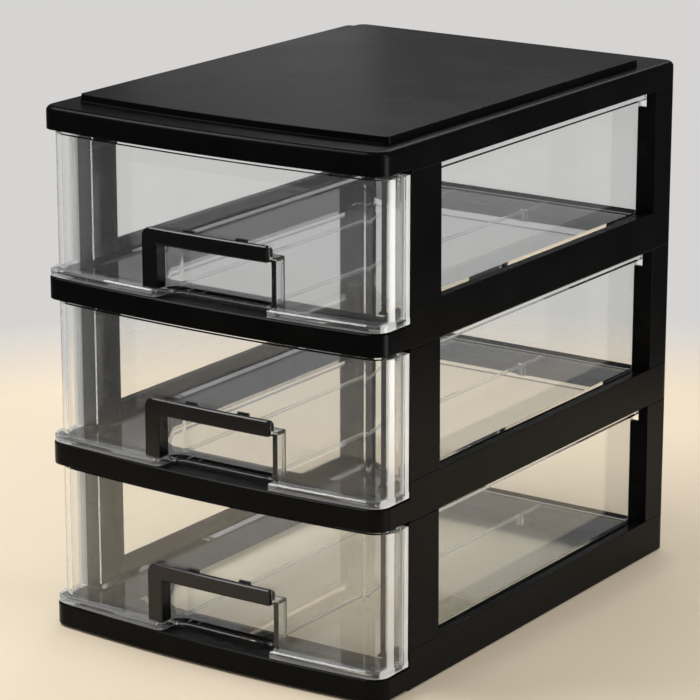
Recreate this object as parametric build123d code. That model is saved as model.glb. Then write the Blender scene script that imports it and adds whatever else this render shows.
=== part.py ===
from build123d import *
import os
from math import atan2, degrees, sqrt

# Desktop organizer: three clear drawers in stacked black frames under a cover.
# Millimetres, +Z up, front towards -Y, origin at the middle of the base.

# Overall form
width = 176.0
depth = 250.0
tier_pitch = 75.0
front_bow = 4.5
front_corner_radius = 8.0
rear_corner_radius = 6.0
least_radius = 0.5
edge_bevel = 0.7
cut_overrun = 5.0
seat_gap = 0.1
running_gap = 0.3

# Ring of each tier frame
ledge_height = 11.1
ledge_bearing = 3.0
rail_height = 18.0
rail_thickness = 4.0
ring_plate = 2.0
skirt_wall = 2.4
inner_rim_wall = 2.0
rear_bar_depth = 30.0
rear_rim_height = 4.6
front_relief = 1.2

# Posts of each tier frame
front_post_setback = 26.4
front_post_depth = 23.0
front_post_thickness = 5.5
rear_post_depth = 19.6
rear_post_reach = 9.6
post_wall = 2.2
post_cap = 4.0
post_lean = 0.5
notch_room = 3.4
notch_gap = 0.7
tenon_height = 6.0
tenon_thickness = 2.2
tenon_end_margin = 6.0
tenon_gap = 0.2
socket_rib = 1.8

# Cover
cover_height = 11.2
cover_plate = 2.4
cover_edge_radius = 2.5
field_rise = 3.0
field_slope_run = 0.4
field_side_margin = 8.0
field_front_margin = 17.5
field_rear_margin = 22.5
field_corner_radius = 2.5
cover_rib_depth = 4.0
cover_rib_thickness = 1.6
cover_rib_count = 3
cover_rib_spacing = 44.0

# Drawer box
drawer_side_gap = 1.4
drawer_rear_room = 9.5
drawer_top_room = 2.2
drawer_wall = 1.8
drawer_floor = 1.6
drawer_corner_radius = 6.0
floor_bevel = 2.0
rim_gap = 0.5
rim_thickness = 2.8
runner_depth = 1.0
runner_width = 1.6
runner_spacing = 50.0
runner_front_room = 5.0
runner_rear_room = 4.0
stop_tab_depth = 5.4
stop_tab_length = 2.0
stop_tab_width = 4.0
stop_tab_room = 1.1

# Drawer front
lip_inset = 0.3
lip_height = 3.2
lip_reach = 3.5
lip_bevel = 0.6
lip_corner_radius = 3.0
front_side_inset = 0.5
front_face_radius = 11.0
front_wall = 2.2
front_top_gap = 2.4
front_post_gap = 0.5

# Handle trim, snapped into the drawer front along the top and left of the finger pocket's mouth
handle_half_width = 32.4
handle_top = 41.1
handle_bar_height = 7.0
handle_leg_width = 7.9
handle_proud = 2.1
handle_depth = 6.5
handle_bezel = 0.6
handle_corner_radius = 4.5
handle_crown_bevel = 1.8
handle_bevel = 0.5
lug_width = 5.5
lug_height = 0.9
lug_length = 1.4
lug_spacing = 27.0
lug_offset = 3.8

# Finger pocket in the drawer front
pocket_depth = 9.6
pocket_wall = 1.7
pocket_end_room = 1.1
pocket_swing = 4.5
pocket_bend_room = 2.2
pocket_bend_radius = 2.5
pocket_corner_radius = 2.0
pocket_crown_radius = 1.5
recess_margin = 0.5

# Places worked out from the sizes above
half_width = width / 2
front_apex = -depth / 2
rear_plane = depth / 2
bow_radius = (half_width ** 2 + front_bow ** 2) / (2 * front_bow)
bow_centre = front_apex + bow_radius
post_front = front_apex + front_post_setback
post_rear = post_front + front_post_depth
rear_post_front = rear_plane - rear_post_depth
rear_post_edge = half_width - rear_post_reach
rear_bar_front = rear_plane - rear_bar_depth
drawer_half = rear_post_edge - drawer_side_gap
rim_half = half_width - front_post_thickness - rim_gap
ledge_edge = drawer_half - ledge_bearing
drawer_top = tier_pitch - drawer_top_room
drawer_rear = rear_plane - drawer_rear_room
lip_bottom = ledge_height + running_gap
lip_top = lip_bottom + lip_height
floor_under = lip_bottom + runner_depth
floor_top = floor_under + drawer_floor
front_inset = lip_inset + lip_reach
front_top = tier_pitch + front_relief - front_top_gap
front_back = post_front - front_post_gap
handle_inset = front_inset - seat_gap - handle_proud
handle_rear = handle_inset + handle_depth
leg_edge = handle_leg_width - handle_half_width
bar_bottom = handle_top - handle_bar_height
pocket_right = handle_half_width + pocket_end_room
pocket_back = front_apex + front_inset + pocket_depth
stop_tab_front = rear_bar_front - stop_tab_room - stop_tab_length
post_places = ((post_front, post_rear), (rear_post_front, rear_plane))


def block(x_span, y_span, z_span):
    """Rectangular solid between pairs of coordinates."""
    spans = (x_span, y_span, z_span)
    sizes = [high - low for low, high in spans]
    middle = [(high + low) / 2 for low, high in spans]
    return Pos(*middle) * Box(*sizes)


def prism(face, low, high, taper=0.0):
    """Plan face carried up from one height to another."""
    return Pos(0, 0, low) * extrude(face, high - low, taper=taper)


def both_sides(solid):
    """The solid and its mirror image across the middle plane."""
    return solid + mirror(solid, about=Plane.YZ)


def bowed_face(side, radius, rear, front_corner, rear_corner):
    """Face with straight sides and rear, and a front on a circle about the bow's centre."""
    end = bow_centre - sqrt(radius ** 2 - side ** 2)
    bow = ThreePointArc((-side, end), (0, bow_centre - radius), (side, end))
    rest = Polyline((side, end), (side, rear), (-side, rear), (-side, end))
    face = make_face([bow, rest])
    face = fillet(face.vertices().sort_by(Axis.Y)[:2], front_corner)
    return fillet(face.vertices().sort_by(Axis.Y)[-2:], rear_corner)


def outline(inset):
    """Plan outline of the organizer, drawn in all round by the inset."""
    front_corner = max(front_corner_radius - inset, least_radius)
    rear_corner = max(rear_corner_radius - inset, least_radius)
    return bowed_face(half_width - inset, bow_radius - inset, rear_plane - inset, front_corner, rear_corner)


def layer(outer_inset, inner_inset):
    """Skin between two insets of the outline, over the height of one tier."""
    return prism(outline(outer_inset), 0, tier_pitch) - prism(outline(inner_inset), 0, tier_pitch)


def front_zone(inset, back, low, high):
    """Space of the drawer front, drawn in by the inset, before a transverse plane."""
    face = bowed_face(
        half_width - front_side_inset - inset,
        bow_radius - front_inset - inset,
        rear_plane,
        front_face_radius - inset,
        least_radius,
    )
    keep = block((-width, width), (front_apex - cut_overrun, back), (low, high))
    return prism(face, low, high) & keep


def leaning(plane, low_span, high_span):
    """Space over one tier's height between two ends that lean from one span to another."""
    face = make_face(
        plane
        * Polyline(
            (low_span[0], 0),
            (low_span[1], 0),
            (high_span[1], tier_pitch),
            (high_span[0], tier_pitch),
            close=True,
        )
    )
    return extrude(face, depth, both=True)


def post_sections():
    """Right-hand posts: channels that are open towards the drawer, the rear one notched for the rim."""
    inner_faces = (half_width - front_post_thickness, rear_post_edge)
    posts = []
    for (start, end), inner in zip(post_places, inner_faces):
        post = block((inner, half_width), (start, end), (0, tier_pitch))
        hollow_across = (inner - cut_overrun, half_width - post_wall)
        hollow_along = (start + post_wall, end - post_wall)
        posts.append(post - block(hollow_across, hollow_along, (ledge_height, tier_pitch - post_cap)))
    notch = block(
        (rear_post_edge - cut_overrun, rim_half + notch_gap),
        (rear_post_front - cut_overrun, rear_plane + cut_overrun),
        (drawer_top - rim_thickness - notch_room, tier_pitch + cut_overrun),
    )
    return posts[0] + (posts[1] - notch)


def tenons():
    """Tongues on the post tops, a clearance inside the skirt of the piece above."""
    outer = half_width - skirt_wall - tenon_gap
    across = (outer - tenon_thickness, outer)
    heights = (tier_pitch - post_cap, tier_pitch + tenon_height)
    tongues = []
    for start, end in post_places:
        tongues.append(block(across, (start + tenon_end_margin, end - tenon_end_margin), heights))
    return both_sides(Part() + tongues)


def socket_ribs(top):
    """Cross ribs in a hollow underside that hold each tongue at its ends."""
    heights = (front_relief, top)
    outer = half_width - skirt_wall / 2
    ribs = []
    for (start, end), inner in zip(post_places, (ledge_edge, rear_post_edge)):
        first = start + tenon_end_margin - tenon_gap
        last = end - tenon_end_margin + tenon_gap
        ribs.append(block((inner, outer), (first - socket_rib, first), heights))
        ribs.append(block((inner, outer), (last, last + socket_rib), heights))
    inside = prism(outline(skirt_wall / 2), 0, top)
    return both_sides(Part() + ribs) & inside


def ring():
    """Ring of one tier: bowed front bar, side rails with ledges, rear bar, hollow underneath."""
    above = rail_height + cut_overrun
    behind = rear_plane + cut_overrun
    before_posts = (front_apex - cut_overrun, post_front)
    solid = prism(outline(0), 0, rail_height)
    solid = chamfer(solid.edges().group_by(Axis.Z)[0], edge_bevel)
    solid -= block((-width, width), before_posts, (ledge_height, above))
    lead = solid.edges().filter_by_position(Axis.Z, ledge_height - edge_bevel, ledge_height + edge_bevel)
    lead = lead.filter_by_position(Axis.Y, front_apex - cut_overrun, post_front - edge_bevel)
    solid = chamfer(lead, edge_bevel)
    bay_half = half_width - rail_thickness
    solid -= block((-bay_half, bay_half), (post_front, behind), (ledge_height, above))
    solid -= block((-ledge_edge, ledge_edge), (post_front, rear_bar_front), (-cut_overrun, above))

    rim_edge = ledge_edge + inner_rim_wall
    rim_along = (post_front - inner_rim_wall, rear_bar_front + inner_rim_wall)
    under_rear_rim = (-cut_overrun, ledge_height - rear_rim_height)
    hollow = prism(outline(skirt_wall), -cut_overrun, ledge_height - ring_plate)
    hollow -= block((-rim_edge, rim_edge), rim_along, (-cut_overrun, ledge_height))
    solid -= hollow
    solid -= block((-ledge_edge, ledge_edge), (post_front, rim_along[1]), under_rear_rim)
    return solid - block((-width, width), before_posts, (-cut_overrun, front_relief))


def tier_frame():
    """Ring and four drafted posts in one moulding, standing on its own underside."""
    plate_under = ledge_height - ring_plate
    top_half = half_width - post_lean
    drafted = prism(outline(0), 0, tier_pitch)
    drafted &= leaning(Plane.XZ, (-half_width, half_width), (-top_half, top_half))
    drafted &= leaning(Plane.YZ, (front_apex, rear_plane), (front_apex, rear_plane - post_lean))
    posts = both_sides(post_sections()) & drafted
    posts -= block((-width, width), (front_apex, rear_plane + cut_overrun), (-cut_overrun, plate_under))
    ribs = socket_ribs(ledge_height - ring_plate / 2)
    return ring() + posts + ribs + tenons()


def top_cover():
    """Lid with a bowed lead edge, a hollow ribbed underside and a raised field on top."""
    under = cover_height - cover_plate
    rib_top = cover_height - cover_plate / 2
    lid = prism(outline(0), 0, cover_height)
    lid = fillet(lid.edges().group_by(Axis.Z)[-1], cover_edge_radius)
    lid -= prism(outline(skirt_wall), -cut_overrun, under)
    lid -= block((-width, width), (front_apex - cut_overrun, post_front), (-cut_overrun, front_relief))
    field = bowed_face(
        half_width - field_side_margin,
        bow_radius - field_front_margin,
        rear_plane - field_rear_margin,
        field_corner_radius,
        field_corner_radius,
    )
    slope = degrees(atan2(field_slope_run, field_rise))
    raised = prism(field, cover_height, cover_height + field_rise, taper=slope)
    rib = block(
        (-cover_rib_thickness / 2, cover_rib_thickness / 2),
        (front_apex, rear_plane),
        (under - cover_rib_depth, rib_top),
    )
    ribs = Part() + [place * rib for place in GridLocations(cover_rib_spacing, 0, cover_rib_count, 1)]
    ribs &= prism(outline(skirt_wall / 2), 0, cover_height)
    return lid + raised + ribs + socket_ribs(rib_top)


def pocket_plan(left):
    """Plan of the finger pocket: straight right and rear walls, left wall swung in at the rear."""
    before = front_apex - cut_overrun
    bend = front_apex + handle_rear + pocket_bend_room
    inner_left = leg_edge + pocket_swing
    face = make_face(
        Polyline(
            (left, before),
            (left, bend),
            (inner_left, pocket_back),
            (pocket_right, pocket_back),
            (pocket_right, before),
            close=True,
        )
    )
    bends = face.vertices().sort_by(Axis.Y)[-3:].sort_by(Axis.X)[:2]
    face = fillet(bends, pocket_bend_radius)
    right_corner = face.vertices().sort_by_distance((pocket_right, pocket_back))[0]
    return fillet(right_corner, pocket_corner_radius)


def pocket_space(grow):
    """Space of the finger pocket under its ceiling, grown all round by a wall."""
    plan = pocket_plan(leg_edge)
    if grow:
        plan = offset(plan, grow)
    before = front_apex - cut_overrun
    back = pocket_back + grow
    top = bar_bottom + grow
    side = make_face(
        Plane.YZ * Polyline((before, lip_bottom), (back, lip_bottom), (back, top), (before, top), close=True)
    )
    crown = side.vertices().sort_by(Axis.Z)[-2:].sort_by(Axis.Y)[-1]
    side = fillet(crown, pocket_crown_radius + grow)
    return prism(plan, lip_bottom, top) & extrude(side, width, both=True)


def handle_angle(inset, front, rear, crown):
    """Angle-shaped bar along the bowed front between two depths, its outer edges drawn in by the inset."""
    foot = lip_top + seat_gap
    left = inset - handle_half_width
    right = handle_half_width - inset
    top = handle_top - inset
    face = make_face(
        Plane.XZ
        * Polyline(
            (left, foot),
            (left, top),
            (right, top),
            (right, bar_bottom),
            (leg_edge, bar_bottom),
            (leg_edge, foot),
            close=True,
        )
    )
    bar = extrude(face, depth, dir=(0, -1, 0))
    outer_corner = bar.edges().filter_by(Axis.Y).sort_by(Axis.Z)[-2:].sort_by(Axis.X)[0]
    bar = fillet(outer_corner, handle_corner_radius - inset)
    bar &= layer(front, rear)
    if crown:
        top_edges = bar.edges().filter_by_position(Axis.Z, top - least_radius, top + least_radius)
        bar = chamfer(top_edges.sort_by(Axis.Y)[-1], crown)
    return bar


def lugs():
    """Snap lugs on top of the handle's bar that hold it behind the drawer front."""
    bar_top = handle_top - handle_bezel
    lug = block(
        (lug_offset - lug_width / 2, lug_offset + lug_width / 2),
        (-depth, 0),
        (bar_top - handle_crown_bevel, bar_top + lug_height),
    )
    pair = Part() + [place * lug for place in GridLocations(lug_spacing, 0, 2, 1)]
    behind = front_inset + front_wall + seat_gap
    return pair & layer(behind, behind + lug_length)


def lip_plate():
    """Foot lip that carries the drawer front round its corners, cut back along the pocket."""
    face = outline(lip_inset) & (Pos(0, front_back - depth / 2) * Rectangle(width, depth))
    inner_half = half_width - front_side_inset - front_wall
    inner_length = front_back - pocket_back
    face -= Pos(0, pocket_back + inner_length / 2) * Rectangle(2 * inner_half, inner_length)
    face -= pocket_plan(leg_edge + recess_margin)
    mouth = face.vertices().sort_by_distance((leg_edge + recess_margin, front_apex))[0]
    face = fillet(mouth, lip_corner_radius)
    plate = prism(face, lip_bottom, lip_top)
    top_edges = plate.edges().group_by(Axis.Z)[-1]
    outer_edges = top_edges.filter_by_position(Axis.Y, front_apex - cut_overrun, pocket_back - lip_reach)
    return chamfer(outer_edges, lip_bevel)


def drawer_box():
    """Outside and inside of the box, as two solids."""
    front = front_back - front_wall - drawer_corner_radius
    length = drawer_rear - front
    inner_radius = drawer_corner_radius - drawer_wall
    inner_half = drawer_half - drawer_wall
    inner_length = length - drawer_wall
    outer_face = RectangleRounded(2 * drawer_half, length, drawer_corner_radius)
    outer_face = Pos(0, front + length / 2) * outer_face
    inner_face = RectangleRounded(2 * inner_half, inner_length, inner_radius)
    inner_face = Pos(0, front + inner_length / 2) * inner_face
    outside = prism(outer_face, floor_under, drawer_top)
    inside = prism(inner_face, floor_top, drawer_top + cut_overrun)
    inside = chamfer(inside.edges().group_by(Axis.Z)[0], floor_bevel)
    return outside, inside


def runners():
    """Runners under the floor, each with the tab that stops the drawer at the front bar."""
    place = runner_spacing / 2
    runner = block(
        (place - runner_width / 2, place + runner_width / 2),
        (front_back - runner_front_room, drawer_rear - runner_rear_room),
        (lip_bottom, floor_top),
    )
    tab = block(
        (place - stop_tab_width / 2, place + stop_tab_width / 2),
        (stop_tab_front, stop_tab_front + stop_tab_length),
        (floor_under - stop_tab_depth, floor_top),
    )
    return both_sides(runner + tab)


def drawer():
    """Clear one-piece drawer: box with rims, bowed front over the posts, foot lip and finger pocket."""
    box_outside, box_inside = drawer_box()
    rim = block((-rim_half, rim_half), (front_back, drawer_rear), (drawer_top - rim_thickness, drawer_top))
    rim = fillet(rim.edges().filter_by(Axis.Z).sort_by(Axis.Y)[-2:], drawer_corner_radius)
    front = front_zone(0, front_back, floor_under, front_top)
    pocket = pocket_space(pocket_wall) & front_zone(0, front_back, 0, tier_pitch)
    web_front = front_back - front_wall
    front_inside = front_zone(front_wall, web_front, floor_top, front_top + cut_overrun)
    inside = box_inside + front_inside - pocket
    solid = box_outside + rim + front + pocket + runners() + lip_plate() - inside
    solid -= pocket_space(0) & block((-width, width), (-depth, 0), (lip_top, tier_pitch))
    solid -= handle_angle(handle_bezel - seat_gap, 0, handle_rear + seat_gap, 0)
    return solid - prism(pocket_plan(leg_edge + recess_margin), 0, lip_top)


def handle():
    """Trim with a bezel on the drawer front, a bar and leg through it, and snap lugs behind it."""
    bezel = handle_angle(0, handle_inset, front_inset - seat_gap, 0)
    bezel = chamfer(bezel.faces().sort_by(Axis.Y)[0].edges(), handle_bevel)
    bar = handle_angle(handle_bezel, handle_inset + handle_bevel, handle_rear, handle_crown_bevel)
    return bezel + bar + lugs()


os.makedirs("parts", exist_ok=True)
tier_pieces = {"tier_frame": tier_frame(), "drawer": drawer(), "handle": handle()}
levels = ("lower", "middle", "upper")
for level, level_name in enumerate(levels):
    for name, piece in tier_pieces.items():
        export_step(Pos(0, 0, level * tier_pitch) * piece, f"parts/{name}_{level_name}.step")
export_step(Pos(0, 0, len(levels) * tier_pitch) * top_cover(), "parts/top_cover.step")
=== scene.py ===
import bpy
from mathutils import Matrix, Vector

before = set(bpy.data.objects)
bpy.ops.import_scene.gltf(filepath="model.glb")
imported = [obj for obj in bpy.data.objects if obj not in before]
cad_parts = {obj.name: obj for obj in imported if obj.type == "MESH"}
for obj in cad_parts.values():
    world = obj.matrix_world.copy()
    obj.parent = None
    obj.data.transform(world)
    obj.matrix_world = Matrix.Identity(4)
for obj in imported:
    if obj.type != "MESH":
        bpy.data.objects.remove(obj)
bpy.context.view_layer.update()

# Camera, fitted to the photograph's straight edges
CAMERA_PLACE = (0.7713, -1.1486, 0.5053)
CAMERA_LOOK = (-0.54078, 0.79573, -0.27272)
IMAGE_SIDE = 700
FOCAL_PIXELS = 3173.6
SENSOR_WIDTH = 36

# Floor
FLOOR_RADIUS = 0.5
FLOOR_FADE = 0.14
FLOOR_SIDES = 96
FLOOR_COLOUR = (0.92, 0.79, 0.61)
FLOOR_TONES = (0.985, 1.015)
FLOOR_CLOUD_SCALE = 6
FLOOR_ROUGHNESS = 0.6
FLOOR_SPECULAR = 0.2

# Room: an even fill, a pale backdrop, its darker upper part as glass shows it,
# and a dim room with one glow as gloss shows it
FILL_COLOUR = (1, 0.98, 0.95)
FILL_STRENGTH = 0.6
BACKDROP_COLOUR = (0.67, 0.66, 0.65)
UPPER_COLOUR = (0.32, 0.32, 0.32)
UPPER_START = 0.12
GLOSS_COLOUR = (0.07, 0.07, 0.072)
GLOW_DIRECTION = (-0.5, 0.74, -0.45)
GLOW_START = 0.8
GLOW_FULL = 0.95

# Softboxes: name, place, target, width, height, power
OBJECT_MIDDLE = (0, 0, 0.12)
COVER_LEFT = (-0.07, 0.04, 0.239)
SOFTBOXES = (
    ("key", (-0.72, -0.36, 1.18), OBJECT_MIDDLE, 0.8, 0.4, 9),
    ("side", (1.3, 0.1, 0.7), OBJECT_MIDDLE, 0.35, 0.9, 5),
    ("low", (1.25, 0.18, -0.22), OBJECT_MIDDLE, 0.5, 0.9, 8),
    ("rear", (-0.5, 1.2, 1.0), OBJECT_MIDDLE, 0.8, 0.5, 2.2),
    ("left", (-0.5, 0.6, 0.35), COVER_LEFT, 0.17, 0.08, 0.02),
)

# Noise lies mostly between these values
NOISE_LOW = 0.3
NOISE_HIGH = 0.7
WAVE_SCALE = 34

# Black plastic
FRAME_COLOUR = (0.003, 0.003, 0.0031)
FRAME_ROUGHNESS = 0.26
FRAME_SPECULAR = 0.065
FRAME_GRAIN = 0.06
COVER_GRAIN = 0
FRAME_EDGE = 0.0005
HANDLE_COLOUR = (0.003, 0.0029, 0.0028)
HANDLE_ROUGHNESS = 0.2
HANDLE_SPECULAR = 0.4
HANDLE_GRAIN = 0.05
HANDLE_EDGE = 0.0004
BLACK_TONES = (0.8, 1.25)
BLACK_ROUGHNESS_SPREAD = (0.88, 1.12)
GRAIN_SCALE = 2600
GRAIN_DEPTH = 0.00004
EDGE_SAMPLES = 4

# Clear plastic
CLEAR_COLOUR = (0.965, 0.972, 0.97)
CLEAR_TONES = (0.99, 1.01)
CLEAR_SHADOW = (0.93, 0.94, 0.94)
CLEAR_INDEX = 1.5
CLEAR_ROUGHNESS = (0.004, 0.03)
FLOW_STRETCH = (1, 0.5, 1)
FLOW_STRENGTH = 0.05
FLOW_DEPTH = 0.0004
RUB_SCALE = 260
RUB_STRETCH = (1, 0.15, 1)

# Where the clear plastic is whitened, in the drawer's own frame: painted highlights on the lip's
# rims and the front's turned ends, standing in for light gathered inside thick edges, and a
# whiter band along the runners
TIER_PITCH = 0.075
LIP_TOP = 0.0147
LIP_UPPER_EDGE = 0.0139
LIP_LOWER_EDGE = 0.0119
LIP_BACK = -0.1165
RETURN_SIDE = 0.083
RETURN_BACK = -0.0985
WEB_FRONT = -0.1024
CORNER_SIDE = 0.0856
CORNER_BACK = -0.109
RUNNER_PLACE = 0.025
RUNNER_HALF_WIDTH = 0.001
RUNNER_TOP = 0.0125
SOFTENING = 0.0005

# How white it is painted there: painted highlight on the lip and turned ends, the runners'
# whitening, and an even faint milkiness everywhere
VEIL = 0.003
# Painted highlight on the lip, stronger along its rims, for light gathered inside the thick lip
LIP_PAINTED_HIGHLIGHT = 0.025
LIP_RIM_PAINTED_HIGHLIGHT = 0.2
# Painted highlight on the front's turned ends and corner arcs
RETURN_PAINTED_HIGHLIGHT = 0.5
# Whiter along the runners under the floor
RUNNER_WHITENING = 0.25


def shades(colour, factors):
    """The colour times each factor, at most white."""
    return [tuple(min(1, part * factor) for part in colour) for factor in factors]


class Nodes:
    """A material's node tree, with short ways to add and join nodes."""

    def __init__(self, name):
        self.material = bpy.data.materials.new(name)
        self.material.use_nodes = True
        self.tree = self.material.node_tree
        self.shader = self.tree.nodes["Principled BSDF"]
        self.output = self.tree.nodes["Material Output"]
        self.place = self.add("ShaderNodeTexCoord").outputs["Object"]

    def add(self, kind, **settings):
        node = self.tree.nodes.new(kind)
        for key, value in settings.items():
            setattr(node, key, value)
        return node

    def join(self, source, target):
        self.tree.links.new(source, target)

    def drive(self, socket_name, source):
        """Joins an output to one of the shader's own sockets."""
        self.join(source, self.shader.inputs[socket_name])

    def fix(self, socket_name, value):
        """Sets one of the shader's own sockets to a plain value."""
        self.shader.inputs[socket_name].default_value = value

    def noise(self, scale, detail, stretch=None):
        """Noise over the object's own coordinates, in lumps per metre, drawn out by stretch."""
        texture = self.add("ShaderNodeTexNoise")
        texture.inputs["Scale"].default_value = scale
        texture.inputs["Detail"].default_value = detail
        place = self.place
        if stretch:
            mapping = self.add("ShaderNodeMapping")
            mapping.inputs["Scale"].default_value = stretch
            self.join(place, mapping.inputs["Vector"])
            place = mapping.outputs["Vector"]
        self.join(place, texture.inputs["Vector"])
        return texture.outputs["Fac"]

    def between(self, value, low, high, start=NOISE_LOW, end=NOISE_HIGH):
        """A number that runs from low to high as value runs from start to end."""
        spread = self.add("ShaderNodeMapRange")
        spread.inputs["From Min"].default_value = start
        spread.inputs["From Max"].default_value = end
        spread.inputs["To Min"].default_value = low
        spread.inputs["To Max"].default_value = high
        self.join(value, spread.inputs["Value"])
        return spread.outputs["Result"]

    def tones(self, value, dark, light):
        """A colour that runs from dark to light with noise."""
        ramp = self.add("ShaderNodeValToRGB")
        elements = ramp.color_ramp.elements
        for element, place, colour in zip(elements, (NOISE_LOW, NOISE_HIGH), (dark, light)):
            element.position = place
            element.color = (*colour, 1)
        self.join(value, ramp.inputs["Fac"])
        return ramp.outputs["Color"]

    def math(self, operation, first, second=0):
        """The result of an operation on two numbers, each an output or a plain number."""
        node = self.add("ShaderNodeMath", operation=operation)
        for place, value in enumerate((first, second)):
            if isinstance(value, (int, float)):
                node.inputs[place].default_value = value
            else:
                self.join(value, node.inputs[place])
        return node.outputs["Value"]

    def bump(self, height, strength, distance, normal=None):
        """A normal that follows a height, on top of another normal if there is one."""
        node = self.add("ShaderNodeBump")
        node.inputs["Strength"].default_value = strength
        node.inputs["Distance"].default_value = distance
        self.join(height, node.inputs["Height"])
        if normal:
            self.join(normal, node.inputs["Normal"])
        return node.outputs["Normal"]

    def rounded_edges(self, radius):
        """A normal that turns softly round sharp edges."""
        node = self.add("ShaderNodeBevel", samples=EDGE_SAMPLES)
        node.inputs["Radius"].default_value = radius
        return node.outputs["Normal"]


def moulded_black(name, colour, roughness, specular, grain, edge_radius):
    """Black moulded plastic: a fine moulded grain, faint flow waves and softly rounded edges."""
    nodes = Nodes(name)
    waves = nodes.noise(WAVE_SCALE, detail=3)
    fine = nodes.noise(GRAIN_SCALE, detail=1)
    smooth, rough = (roughness * factor for factor in BLACK_ROUGHNESS_SPREAD)
    edges = nodes.rounded_edges(edge_radius)
    nodes.drive("Base Color", nodes.tones(waves, *shades(colour, BLACK_TONES)))
    nodes.drive("Roughness", nodes.between(waves, smooth, rough))
    nodes.drive("Normal", nodes.bump(fine, grain, GRAIN_DEPTH, edges))
    nodes.fix("Specular IOR Level", specular)
    return nodes.material


def painted_highlights_and_milkiness(nodes):
    """Share of white base in place of clearness: painted highlights on the lip rims and the
    front's turned ends, whiter runners, and an even veil.
    """
    split = nodes.add("ShaderNodeSeparateXYZ")
    nodes.join(nodes.place, split.inputs["Vector"])
    along = split.outputs["Y"]
    side = nodes.math("ABSOLUTE", split.outputs["X"])
    height = nodes.math("FLOORED_MODULO", split.outputs["Z"], TIER_PITCH)

    def over(value, limit):
        return nodes.between(value, 0, 1, limit, limit + SOFTENING)

    def under(value, limit):
        return nodes.between(value, 1, 0, limit - SOFTENING, limit)

    def both(first, second):
        return nodes.math("MULTIPLY", first, second)

    def either(first, second):
        return nodes.math("MAXIMUM", first, second)

    # Painted highlights on the front's turned ends: the web behind them and the corner arcs
    ends = both(over(side, RETURN_SIDE), under(along, RETURN_BACK))
    corner = both(over(side, CORNER_SIDE), under(along, CORNER_BACK))
    bands = both(ends, either(over(along, WEB_FRONT), corner))
    # Painted highlight on the lip, brighter along its upper and lower rims
    foot = both(under(height, LIP_TOP), either(under(along, LIP_BACK), ends))
    rims = either(over(height, LIP_UPPER_EDGE), under(height, LIP_LOWER_EDGE))
    lip = both(foot, nodes.between(rims, LIP_PAINTED_HIGHLIGHT, LIP_RIM_PAINTED_HIGHLIGHT, 0, 1))
    # A whiter band along each runner under the floor
    off_runner = nodes.math("ABSOLUTE", nodes.math("SUBTRACT", side, RUNNER_PLACE))
    runner = both(under(off_runner, RUNNER_HALF_WIDTH), under(height, RUNNER_TOP))
    # Painted highlights joined with the runners' whitening and the even veil
    highlights_and_runners = either(lip, both(bands, RETURN_PAINTED_HIGHLIGHT))
    highlights_and_runners = either(highlights_and_runners, both(runner, RUNNER_WHITENING))
    return nodes.math("ADD", highlights_and_runners, VEIL)


def clear_plastic(name):
    """Clear moulded plastic that refracts what is behind it and lets lamps shine through."""
    nodes = Nodes(name)
    flow = nodes.noise(WAVE_SCALE, detail=2, stretch=FLOW_STRETCH)
    rubbed = nodes.noise(RUB_SCALE, detail=3, stretch=RUB_STRETCH)
    nodes.drive("Base Color", nodes.tones(flow, *shades(CLEAR_COLOUR, CLEAR_TONES)))
    nodes.drive("Roughness", nodes.between(rubbed, *CLEAR_ROUGHNESS))
    nodes.drive("Normal", nodes.bump(flow, FLOW_STRENGTH, FLOW_DEPTH))
    # Less clear where painted highlights whiten the lip rims and turned ends
    nodes.drive("Transmission Weight", nodes.math("SUBTRACT", 1, painted_highlights_and_milkiness(nodes)))
    nodes.fix("IOR", CLEAR_INDEX)
    light_path = nodes.add("ShaderNodeLightPath")
    through = nodes.add("ShaderNodeBsdfTransparent")
    through.inputs["Color"].default_value = (*CLEAR_SHADOW, 1)
    mix = nodes.add("ShaderNodeMixShader")
    nodes.join(light_path.outputs["Is Shadow Ray"], mix.inputs["Fac"])
    nodes.join(nodes.shader.outputs["BSDF"], mix.inputs[1])
    nodes.join(through.outputs["BSDF"], mix.inputs[2])
    nodes.join(mix.outputs["Shader"], nodes.output.inputs["Surface"])
    return nodes.material


def floor_surface(name):
    """A plain pale floor that fades into the backdrop towards its edge."""
    nodes = Nodes(name)
    cloud = nodes.noise(FLOOR_CLOUD_SCALE, detail=3)
    distance = nodes.add("ShaderNodeVectorMath", operation="LENGTH")
    nodes.join(nodes.place, distance.inputs[0])
    fade = nodes.between(distance.outputs["Value"], 1, 0, FLOOR_RADIUS - FLOOR_FADE, FLOOR_RADIUS)
    nodes.drive("Base Color", nodes.tones(cloud, *shades(FLOOR_COLOUR, FLOOR_TONES)))
    nodes.drive("Alpha", fade)
    nodes.fix("Roughness", FLOOR_ROUGHNESS)
    nodes.fix("Specular IOR Level", FLOOR_SPECULAR)
    return nodes.material


def dress_nodes():
    """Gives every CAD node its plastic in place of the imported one."""
    frame_finish = (FRAME_COLOUR, FRAME_ROUGHNESS, FRAME_SPECULAR)
    handle_finish = (HANDLE_COLOUR, HANDLE_ROUGHNESS, HANDLE_SPECULAR)
    finishes = {
        "tier_frame": moulded_black("frame_plastic", *frame_finish, FRAME_GRAIN, FRAME_EDGE),
        "top_cover": moulded_black("cover_plastic", *frame_finish, COVER_GRAIN, FRAME_EDGE),
        "handle": moulded_black("handle_plastic", *handle_finish, HANDLE_GRAIN, HANDLE_EDGE),
        "drawer": clear_plastic("clear_plastic"),
    }
    for name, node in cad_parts.items():
        kind = next(start for start in finishes if name.startswith(start))
        for slot in node.material_slots:
            slot.material = finishes[kind]


def add_floor():
    bpy.ops.mesh.primitive_circle_add(vertices=FLOOR_SIDES, radius=FLOOR_RADIUS, fill_type="NGON")
    floor = bpy.context.object
    floor.name = "floor"
    floor.data.materials.append(floor_surface("floor_surface"))


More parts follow.
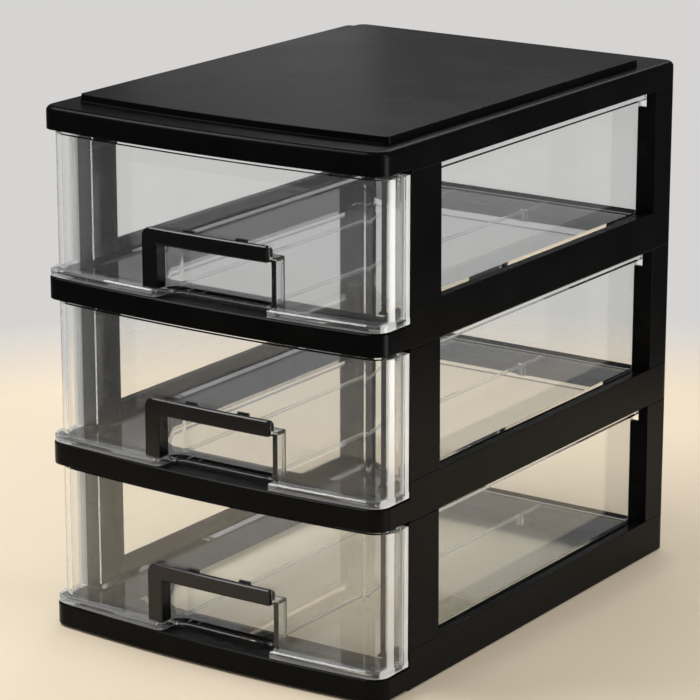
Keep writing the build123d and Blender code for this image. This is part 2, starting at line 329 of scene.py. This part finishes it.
def add_world():
    """An even fill light, a backdrop seen directly and through glass, and a dim room in gloss."""
    world = bpy.data.worlds.new("studio")
    world.use_nodes = True
    tree = world.node_tree
    direction = tree.nodes.new("ShaderNodeTexCoord").outputs["Generated"]

    def ramped(axis, first, first_colour, last, last_colour):
        """Light whose colour runs from first to last with the direction's reach along an axis."""
        reach = tree.nodes.new("ShaderNodeVectorMath")
        reach.operation = "DOT_PRODUCT"
        reach.inputs[1].default_value = axis
        tree.links.new(direction, reach.inputs[0])
        ramp = tree.nodes.new("ShaderNodeValToRGB")
        elements = ramp.color_ramp.elements
        for element, place, colour in zip(elements, (first, last), (first_colour, last_colour)):
            element.position = place
            element.color = (*colour, 1)
        tree.links.new(reach.outputs["Value"], ramp.inputs["Fac"])
        light = tree.nodes.new("ShaderNodeBackground")
        tree.links.new(ramp.outputs["Color"], light.inputs["Color"])
        return light

    fill = tree.nodes["Background"]
    fill.inputs["Color"].default_value = (*FILL_COLOUR, 1)
    fill.inputs["Strength"].default_value = FILL_STRENGTH
    plain = tree.nodes.new("ShaderNodeBackground")
    plain.inputs["Color"].default_value = (*BACKDROP_COLOUR, 1)
    gloss = ramped(GLOW_DIRECTION, GLOW_START, GLOSS_COLOUR, GLOW_FULL, BACKDROP_COLOUR)
    through = ramped((0, 0, 1), 0, BACKDROP_COLOUR, UPPER_START, UPPER_COLOUR)
    seen_by = {"Is Glossy Ray": gloss, "Is Transmission Ray": through, "Is Camera Ray": plain}
    light_path = tree.nodes.new("ShaderNodeLightPath")
    light = fill.outputs["Background"]
    for ray, source in seen_by.items():
        mix = tree.nodes.new("ShaderNodeMixShader")
        tree.links.new(light_path.outputs[ray], mix.inputs["Fac"])
        tree.links.new(light, mix.inputs[1])
        tree.links.new(source.outputs["Background"], mix.inputs[2])
        light = mix.outputs["Shader"]
    tree.links.new(light, tree.nodes["World Output"].inputs["Surface"])
    bpy.context.scene.world = world


def facing(direction):
    """Rotation of a lamp or camera that looks along a direction."""
    return Vector(direction).to_track_quat("-Z", "Y").to_euler()


def add_softbox(name, place, target, width, height, power):
    lamp = bpy.data.lights.new(name, "AREA")
    lamp.shape = "RECTANGLE"
    lamp.size = width
    lamp.size_y = height
    lamp.energy = power
    softbox = bpy.data.objects.new(name, lamp)
    softbox.location = place
    softbox.rotation_euler = facing(Vector(target) - Vector(place))
    softbox.visible_camera = False
    softbox.visible_transmission = False
    bpy.context.collection.objects.link(softbox)


def add_camera():
    camera = bpy.data.objects.new("camera", bpy.data.cameras.new("camera"))
    camera.location = CAMERA_PLACE
    camera.rotation_euler = facing(CAMERA_LOOK)
    camera.data.sensor_width = SENSOR_WIDTH
    camera.data.lens = FOCAL_PIXELS * SENSOR_WIDTH / IMAGE_SIDE
    bpy.context.collection.objects.link(camera)
    bpy.context.scene.camera = camera


dress_nodes()
add_floor()
add_world()
for softbox in SOFTBOXES:
    add_softbox(*softbox)
add_camera()
bpy.context.scene.view_settings.view_transform = "Standard"
